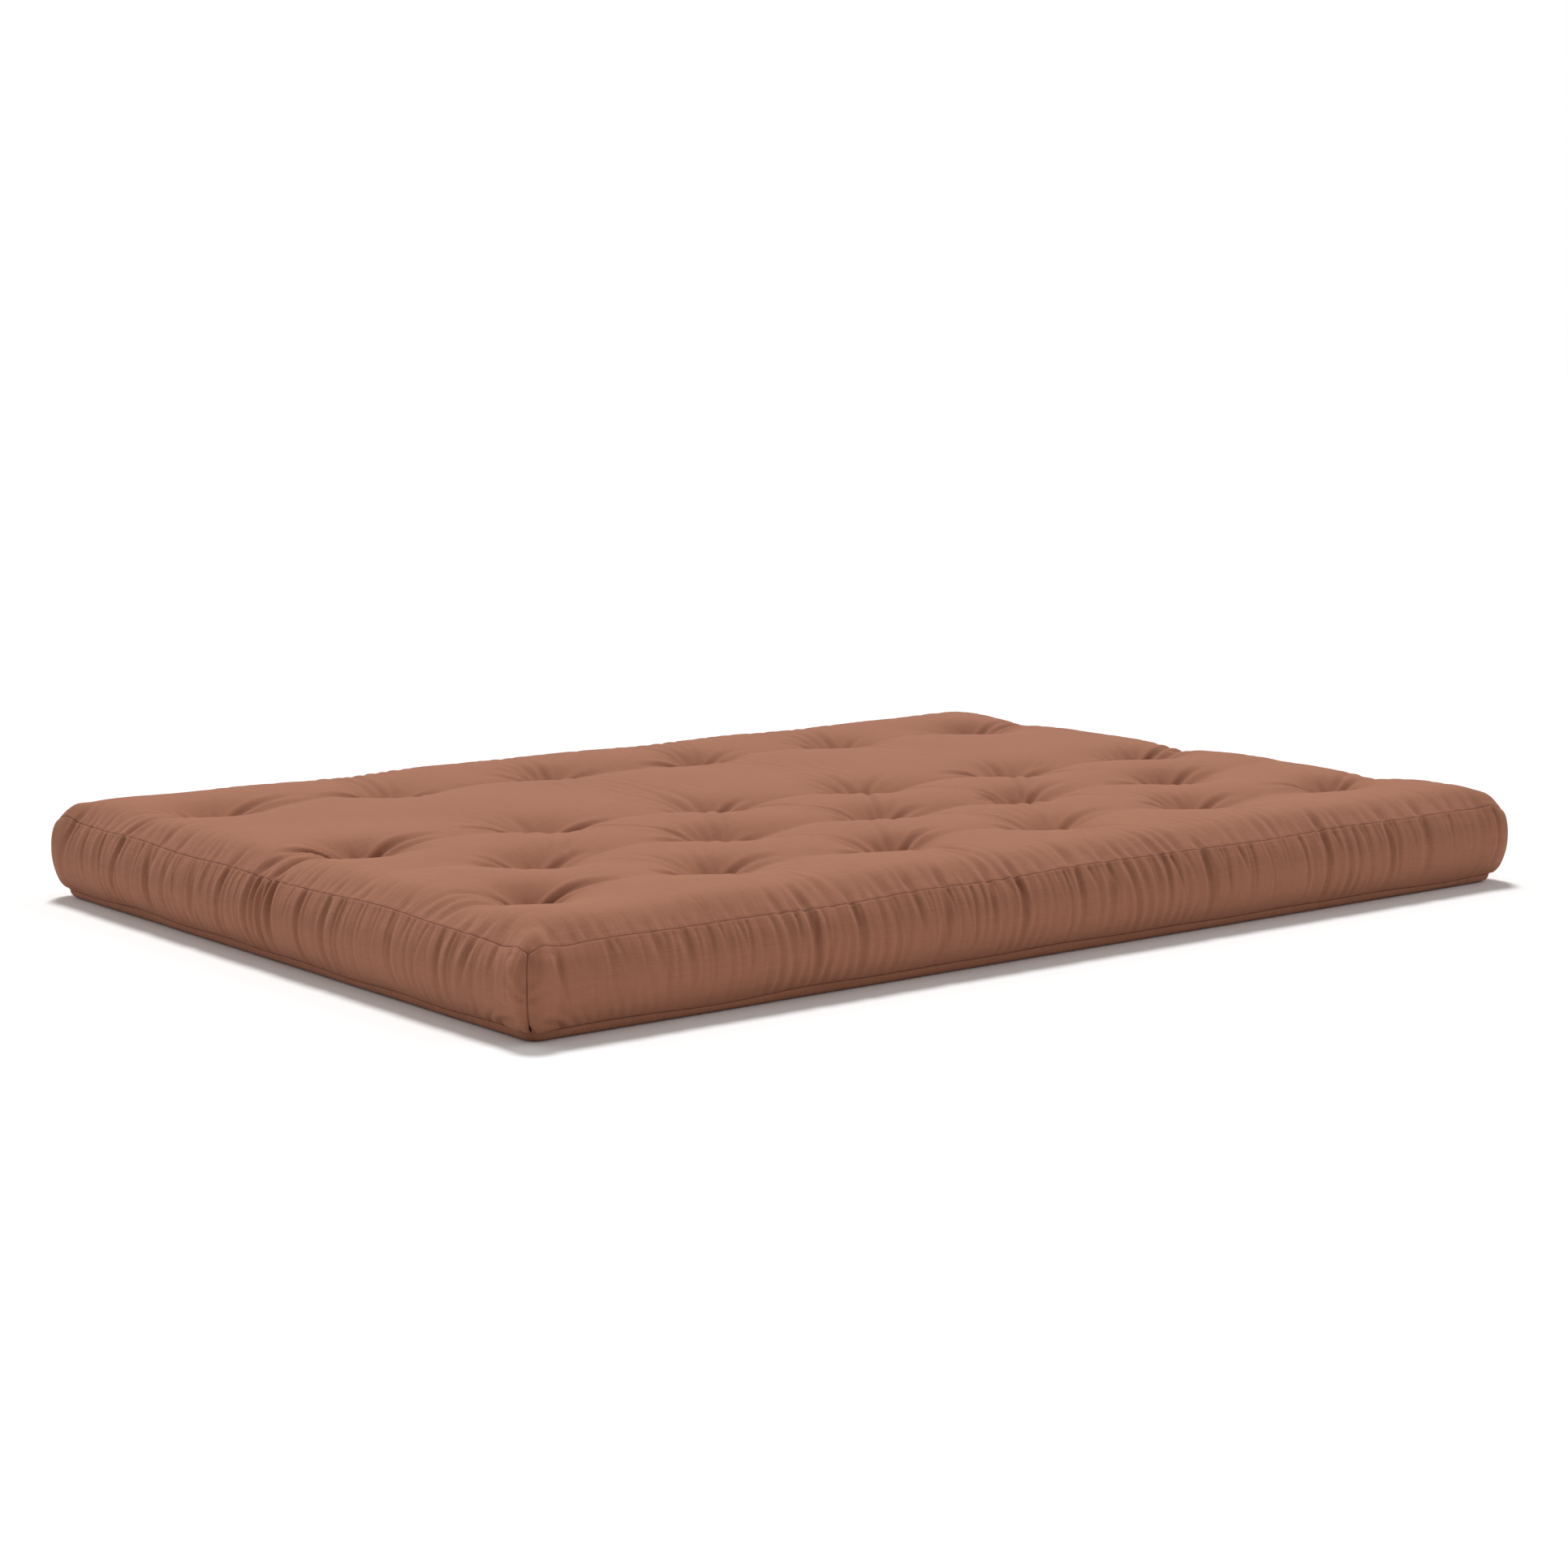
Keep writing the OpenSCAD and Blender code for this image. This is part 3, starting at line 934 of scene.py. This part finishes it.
relaxed, cloth = relaxed_cover()
normals = point_normals(relaxed, cloth.faces())
on_top = slice(0, cloth.top.size)
folds = crease_depth(cloth.u, cloth.v, cloth.down, cloth.out) * CREASE_SHARE * (cloth.down < 1)
folds[on_top] += tuft_fold_depth(cloth.u[on_top], cloth.v[on_top])
folds[on_top] += top_gathers(cloth.u[on_top], cloth.v[on_top])
points = relaxed - normals * folds[:, None]
folded_normals = point_normals(points, cloth.faces())


def hollows(grid, outward):
    """How far each point lies in a hollow of the cover, from 0 to 1; the cloth is darkened by it as
    painted shade.
    """
    mean = grid.copy()
    for _ in range(6):
        mean[1:-1] = (mean[:-2] + mean[1:-1] * 2 + mean[2:]) / 4
        mean[:, 1:-1] = (mean[:, :-2] + mean[:, 1:-1] * 2 + mean[:, 2:]) / 4
    away = ((mean - grid) * outward).sum(-1)
    return np.clip(away / 0.003, 0, 1)


def panel_piece(name, grid, outward, flat, hollow, slit=False):
    """One cut piece of the cover, with its edges turned in at the seams."""
    packed = np.concatenate([flat, hollow[..., None]], -1)
    grid, packed = hemmed(grid, outward, packed, slit)
    packed = packed.reshape(-1, 4)
    return closed_shell(name, grid, packed[:, :3], packed[:, 3], CLOTH)


top_flat = np.stack([cloth.u[cloth.top], cloth.v[cloth.top], np.zeros(cloth.top.shape)], -1)
top_points, top_normals = points[cloth.top], folded_normals[cloth.top]
top_cloth = panel_piece("top_cloth", top_points, top_normals, top_flat,
                        hollows(top_points, top_normals))
finished(top_cloth, COVER, ["seat_top_panel", "back_top_panel"])

nx, ny = cloth.nx, cloth.ny
BORDERS = [  # piece, first and last place round the ring, cut length, CAD nodes, body
    ("front_border_cloth", 0, nx, 2.13, ["front_border"], "seat_half"),
    ("right_border_cloth", nx, nx + ny, 1.50, ["right_border_seat", "right_border_back"], None),
    ("rear_border_cloth", nx + ny, 2 * nx + ny, 2.13, ["rear_border"], "back_half"),
    ("left_border_cloth", 2 * nx + ny, 2 * nx + 2 * ny, 1.50,
     ["left_border_seat", "left_border_back"], None),
]
BORDER_FLAT = 3.0  # third coordinate of the borders' flat places, away from the top's 0
BOTTOM_FLAT = 5.0  # and of the bottom panel's
round_side = np.concatenate([cloth.side, cloth.side[:, :1]], 1)


def border_piece(name, first, last, cut):
    """One border: a stretch of the relaxed ring at twice its columns, with its own gathers."""
    ids = round_side[:, first:last + 1]
    u, v, down = (between(value[ids]) for value in (cloth.u, cloth.v, cloth.down))
    out = cloth.out[ids[0, ids.shape[1] // 2]]
    outs = np.tile(out, (u.size, 1))
    half, along = (LENGTH / 2, u) if out[1] != 0 else (WIDTH / 2, v)
    creases = crease_depth(u.ravel(), v.ravel(), down.ravel(), outs).reshape(u.shape)
    seed = len(name) + first
    depth = creases * CREASE_SHARE
    depth = depth + small_gathers(along, down * BORDER, half, seed, BORDER_GATHERS)
    depth[0] = between(folds[ids[:1]])[0]
    outward = unit(between(normals[ids]))
    grid = between(relaxed[ids]) - outward * (depth * (down < 1))[..., None]
    places = np.linspace(0, cut, u.shape[1])[None, :]
    flat = np.stack(np.broadcast_arrays(places, down * BORDER, BORDER_FLAT), -1)
    facing = unit(between(folded_normals[ids]))
    return panel_piece(name, grid, facing, flat, hollows(grid, facing), slit=True)


for name, first, last, cut, nodes, body in BORDERS:
    piece = border_piece(name, first, last, cut)
    finished(piece, SHADED_BORDER_COTTON, nodes, body)


# ---------- the underside
def finer_edges(half, step):
    """Coordinates across the underside, close together at the rounded foot."""
    near = half - np.array([0.0, 0.0016, 0.004, 0.007, 0.0105, 0.014, 0.019])
    inner = np.linspace(-near[-1], near[-1], round(2 * near[-1] / step) + 1)
    return np.concatenate([-near[:-1], inner, near[:-1][::-1]])


def underside(u, v):
    """Height of the underside of the mattress."""
    inward = from_edges(u, v)
    turned = np.hypot(*(np.clip(1 - gap / FOOT, 0, 1) for gap in inward))
    z = foot_height(u, v) * (1 - np.sqrt(np.clip(1 - np.minimum(turned, 1) ** 2, 0, 1)))
    dimple = np.clip(1 - (from_tufts(u, v) / 0.038) ** 2, 0, 1) ** 2
    ripple = 0.0007 * (1 + np.clip(field(u, v, 0.05, 15), -1, 1))
    inside = np.clip(np.minimum(*inward) / 0.06 - 0.3, 0, 1)
    return z + (0.0005 + ripple) * inside + 0.011 * dimple


def bottom_piece():
    """The bottom panel. Its rows run backwards, so that its faces look down."""
    across, along = finer_edges(LENGTH / 2, 0.010)[::-1], finer_edges(WIDTH / 2, 0.010)
    u, v = np.meshgrid(across, along, indexing="ij")
    grid = np.stack([*rounded(u, v), underside(u, v)], -1)
    ids = np.arange(u.size).reshape(u.shape)
    outward = point_normals(grid.reshape(-1, 3), quads(ids)).reshape(grid.shape)
    flat = np.stack([u, v, np.full(u.shape, BOTTOM_FLAT)], -1)
    return panel_piece("bottom_cloth", grid, outward, flat, np.zeros(u.shape))


bottom_cloth = bottom_piece()
finished(bottom_cloth, COVER, ["seat_bottom_panel", "back_bottom_panel"])

# ---------- the filling
LAYERS = [("felt", 1, 0.018), ("felt", 2, 0.018), ("felt", 3, 0.018), ("foam", 1, 0.024),
          ("foam", 2, 0.024), ("felt", 4, 0.018), ("felt", 5, 0.018), ("felt", 6, 0.018)]
LAYER_STEP = 5  # cells of the cover to one cell of a layer
LAYER_INSET = 0.010  # how far the layers keep from the seams
ROOF_GAP = 0.004  # and from the top and the bottom panel
GROUND_GAP = 0.003
LAYER_GAP = 0.0002  # half of the gap between two layers


def lowest_near(grid, reach):
    """The lowest value within reach points of each point."""
    for axis in (0, 1):
        padded = np.concatenate([np.take(grid, [0] * reach, axis), grid,
                                 np.take(grid, [-1] * reach, axis)], axis)
        size = grid.shape[axis]
        views = [np.take(padded, range(k, k + size), axis) for k in range(2 * reach + 1)]
        grid = np.min(views, axis=0)
    return grid


def filling_surfaces():
    """(x, y, floor, roof) of the space inside the cover, on a coarse grid."""
    u, v = cloth.u[cloth.top], cloth.v[cloth.top]
    reach, coarse = LAYER_STEP + 2, (slice(None, None, LAYER_STEP),) * 2
    roof = lowest_near(points[cloth.top][..., 2], reach)[coarse] - ROOF_GAP
    ground = GROUND_GAP - lowest_near(-underside(u, v), reach)[coarse]
    x, y = rounded(u[coarse], v[coarse])
    return x * (1 - 2 * LAYER_INSET / LENGTH), y * (1 - 2 * LAYER_INSET / WIDTH), ground, roof


def layer_piece(name, x, y, bottom_z, top_z):
    """A closed slab between two surfaces."""
    ids = np.arange(x.size).reshape(x.shape)
    co = np.concatenate([np.stack([x, y, z], -1).reshape(-1, 3) for z in (top_z, bottom_z)])
    return make_object(name, co, shell_faces(ids), co)


layer_x, layer_y, ground, roof = filling_surfaces()
total_depth = sum(depth for _, _, depth in LAYERS)
below = 0.0
for kind, number, depth in LAYERS:
    above = below + depth
    shares = [(below + LAYER_GAP) / total_depth, (above - LAYER_GAP) / total_depth]
    heights = [ground + (roof - ground) * share for share in shares]
    name = f"{kind}_layer_{number}"
    piece = layer_piece(name, layer_x, layer_y, *heights)
    material, slot = (FELT, "cotton_felt") if kind == "felt" else (FOAM, "foam")
    finished(piece, material, [f"seat_{kind}_{number}", f"back_{kind}_{number}"])
    below = above


# ---------- seams and tufts
STITCH = 0.004  # length of one stitch
THREAD_RADIUS = 0.00045
THREAD_DIPS = (0.0014, 0.0022)  # depth of the thread on and between the stitches


def stitched(path, outward, closed):
    """The sewing thread of a seam, which dips into the cloth between its stitches."""
    length = run_length(path)
    count = int(length[-1] / (STITCH / 2))
    wanted = np.linspace(0, length[-1], count + (0 if closed else 1), endpoint=not closed)
    line, facing = (np.stack([np.interp(wanted, length, axis) for axis in values.T], -1)
                    for values in (path, outward))
    dip = np.where(np.arange(len(line)) % 2 == 0, *THREAD_DIPS)
    return tube(line - facing * dip[:, None], THREAD_RADIUS, sides=5, closed=closed)


for level, row in (("upper", 0), ("lower", -1)):
    ids = round_side[row]
    piece = joined_tubes(f"{level}_seam_thread", [stitched(points[ids], folded_normals[ids], True)])
    finished(piece, THREAD, [f"seat_{level}_seam", f"back_{level}_seam"])

for half, columns in (("seat", (0, nx)), ("back", (nx + ny, 2 * nx + ny))):
    lines = [cloth.side[1:-3, column] for column in columns]
    tubes = [stitched(points[ids], folded_normals[ids], False) for ids in lines]
    piece = joined_tubes(f"{half}_corner_thread", tubes)
    finished(piece, THREAD, [f"{half}_corner_seams"], f"{half}_half")

TWINE_RADIUS = 0.0011


def tuft_tubes(x, y, z):
    """The doubled twine of one tuft: a bight over the top, two legs, and a knot below."""
    reach = BIGHT / 2 - 0.001
    leg = [(0.001, 0.008), (0.0015, 0.05), (0.6 * reach, z - 0.012), (reach, z - 0.005)]
    angles = [math.pi * i / 6 for i in range(7)]
    over = [(-reach * math.cos(t), z - 0.004 + 0.0029 * math.sin(t)) for t in angles]
    line = [(-across, height) for across, height in leg] + over + leg[::-1]
    made = []
    for side in (-1, 1):
        shift = side * 1.15 * TWINE_RADIUS
        path = [(x + across, y + shift, height) for across, height in line]
        made.append(tube(path, TWINE_RADIUS, sides=6))
    turns = np.arange(36) * 2 * math.pi / 36
    knot = np.stack([x + 0.0015 * (np.sin(turns) + 2 * np.sin(2 * turns)),
                     y + 0.0015 * (np.cos(turns) - 2 * np.cos(2 * turns)),
                     0.0062 + 0.0012 * -np.sin(3 * turns)], -1)
    made.append(tube(knot, TWINE_RADIUS, sides=6, closed=True))
    return made


first = 0
for node, count, body in TUFT_ROWS:
    tubes = [part for tuft in TUFTS[first:first + count] for part in tuft_tubes(*tuft)]
    first += count
    piece = joined_tubes(node.replace("tufts", "twine"), tubes)
    finished(piece, TWINE, [node], body)


# ---------- studio
FLOOR_RADIUS = 40
FLOOR_SIDES = 64
FLOOR_HEIGHT = -0.0005  # just under the mattress


def make_floor():
    """A disc, large enough to reach past every view."""
    angles = np.arange(FLOOR_SIDES) * 2 * math.pi / FLOOR_SIDES
    rim = np.stack([np.cos(angles), np.sin(angles), np.zeros(FLOOR_SIDES)], -1) * FLOOR_RADIUS
    mesh = bpy.data.meshes.new("studio_floor")
    mesh.from_pydata(rim.tolist(), [], [list(range(FLOOR_SIDES))])
    mesh.materials.append(floor_material())
    floor = placed("studio_floor", mesh)
    floor.location.z = FLOOR_HEIGHT


LAMPS = [  # name, strength, angle in degrees, direction towards the lamp
    ("key", 2.45, 14, (0.22, 0.38, 0.90)), ("right_fill", 0.85, 50, (0.80, -0.42, 0.42)),
    ("left_fill", 0.85, 50, (-0.42, 0.80, 0.42))]
AMBIENT = 0.30  # light of the world on the object


def make_lights():
    """White for the camera, a weaker light for the object, and three lamps."""
    world = bpy.data.worlds.new("studio")
    bpy.context.scene.world = world
    world.use_nodes = True
    tree = world.node_tree
    ambient = tree.nodes["Background"]
    ambient.inputs["Color"].default_value = (1.0, 0.99, 0.98, 1)
    ambient.inputs["Strength"].default_value = AMBIENT
    backdrop = add(tree, "ShaderNodeBackground", Strength=1.0)
    backdrop.inputs["Color"].default_value = (1, 1, 1, 1)
    seen = add(tree, "ShaderNodeLightPath")
    mix = add(tree, "ShaderNodeMixShader")
    tree.links.new(seen.outputs["Is Camera Ray"], mix.inputs[0])
    tree.links.new(ambient.outputs[0], mix.inputs[1])
    tree.links.new(backdrop.outputs[0], mix.inputs[2])
    tree.links.new(mix.outputs[0], tree.nodes["World Output"].inputs["Surface"])
    for name, power, angle, towards in LAMPS:
        lamp = bpy.data.lights.new(name, "SUN")
        lamp.energy = power
        lamp.angle = math.radians(angle)
        made = placed(name, lamp)
        made.rotation_euler = Vector(towards).to_track_quat("Z", "Y").to_euler()


def make_camera():
    """The photo's view: its focal length, place and direction were worked out from the photo."""
    lens = bpy.data.cameras.new("camera")
    lens.sensor_width = 36.0
    lens.lens = 73.418
    camera = placed("camera", lens)
    turn, tilt = math.radians(38.36), math.radians(8.482)
    ahead = Vector((math.sin(turn) * math.cos(tilt), math.cos(turn) * math.cos(tilt),
                    -math.sin(tilt)))
    camera.location = (-3.331, -4.194, 0.978)
    camera.rotation_euler = ahead.to_track_quat("-Z", "Y").to_euler()
    bpy.context.scene.camera = camera


make_floor()
make_lights()
make_camera()
bpy.context.scene.view_settings.view_transform = "Standard"
